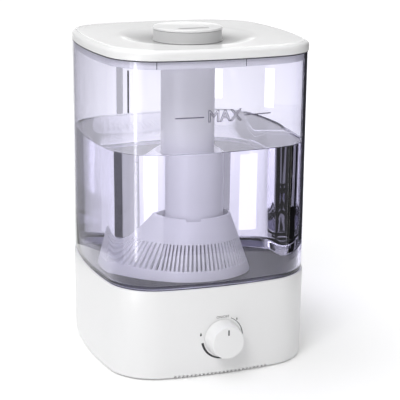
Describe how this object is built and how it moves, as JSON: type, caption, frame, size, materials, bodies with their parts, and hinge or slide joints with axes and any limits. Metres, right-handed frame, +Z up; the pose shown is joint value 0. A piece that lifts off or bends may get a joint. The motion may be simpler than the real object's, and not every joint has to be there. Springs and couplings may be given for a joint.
{
  "type": "cool mist humidifier",
  "caption": "Top-fill ultrasonic humidifier: square-round white base with a dial, clear water tank with a central mist tube and slotted strainer cone, white lid with a turning nozzle.",
  "frame": {"origin": "on the surface it stands on, at the middle of the whole object's footprint with the dial included; the tank's upright axis is 8.5 mm behind it", "axes": "+Z up, -Y towards the dial on the front face, +X to the right seen from the front"},
  "size_m": [0.194, 0.2086, 0.2986],
  "materials": {
    "white_plastic": "satin white moulded plastic",
    "clear_plastic": "clear plastic with a faint lavender tint",
    "silicone": "matt translucent silicone",
    "foot_rubber": "matt black rubber",
    "steel": "plain steel",
    "aluminium": "plain aluminium",
    "black_plastic": "matt black plastic",
    "circuit_board": "green solder mask",
    "piezo_ceramic": "glazed ceramic disc",
    "copper": "enamelled copper wire",
    "dial_print": "dark inlaid line"
  },
  "bodies": {
    "base": {"base_housing": "white_plastic", "base_deck": "white_plastic", "bottom_plate": "white_plastic", "foot_1": "foot_rubber", "foot_2": "foot_rubber", "foot_3": "foot_rubber", "foot_4": "foot_rubber", "base_screw_1": "steel", "base_screw_2": "steel", "base_screw_3": "steel", "base_screw_4": "steel", "transducer_disc": "piezo_ceramic", "transducer_gasket": "silicone", "transducer_bracket": "aluminium", "bracket_screw_1": "steel", "bracket_screw_2": "steel", "float_pin": "steel", "float_sensor": "black_plastic", "fan_frame": "black_plastic", "air_duct": "white_plastic", "main_board": "circuit_board", "heatsink": "aluminium", "power_coil": "copper", "capacitor": "black_plastic", "dc_socket": "black_plastic", "dial_potentiometer": "steel", "dial_nut": "steel"},
    "knob": {"dial_knob": "white_plastic", "dial_shaft": "steel", "dial_pointer": "dial_print"},
    "fan": {"fan_rotor": "black_plastic"},
    "rocker": {"float_arm": "white_plastic", "float": "white_plastic", "float_magnet": "steel"},
    "tank": {"tank": "clear_plastic", "tube_seal_lower": "silicone", "mist_tube": "white_plastic", "strainer_cone": "white_plastic", "valve_cage": "white_plastic", "valve_spring": "steel"},
    "valve": {"valve_plunger": "white_plastic", "valve_seal": "silicone"},
    "lid": {"lid_cover": "white_plastic", "lid_liner": "white_plastic", "tube_seal_upper": "silicone"},
    "nozzle": {"nozzle_body": "white_plastic", "nozzle_cap": "white_plastic"}
  },
  "joints": [
    {"name": "knob_turn", "type": "hinge", "parent": "base", "child": "knob", "pos_m": [0, -0.08929, 0.0355], "axis": [0, 1, 0], "range_deg": [0, 270]},
    {"name": "fan_spin", "type": "hinge", "parent": "base", "child": "fan", "pos_m": [0.047, 0.05129, 0.011], "axis": [0, 0, 1], "continuous": true},
    {"name": "float_tilt", "type": "hinge", "parent": "base", "child": "rocker", "pos_m": [-0.014, 0.04209, 0.068], "axis": [0, -1, 0], "range_deg": [0, 8]},
    {"name": "tank_lift", "type": "slide", "parent": "base", "child": "tank", "axis": [0, 0, 1], "range_m": [0, 0.05]},
    {"name": "valve_lift", "type": "slide", "parent": "tank", "child": "valve", "axis": [0, 0, 1], "range_m": [0, 0.002], "deforming": ["valve_spring"]},
    {"name": "lid_lift", "type": "slide", "parent": "tank", "child": "lid", "axis": [0, 0, 1], "range_m": [0, 0.05]},
    {"name": "nozzle_turn", "type": "hinge", "parent": "lid", "child": "nozzle", "pos_m": [0, 0.00729, 0.29], "axis": [0, 0, 1], "continuous": true}
  ],
  "couplings": [
    {"joint": "valve_lift", "follows": "float_tilt", "m_per_rad": 0.014}
  ]
}
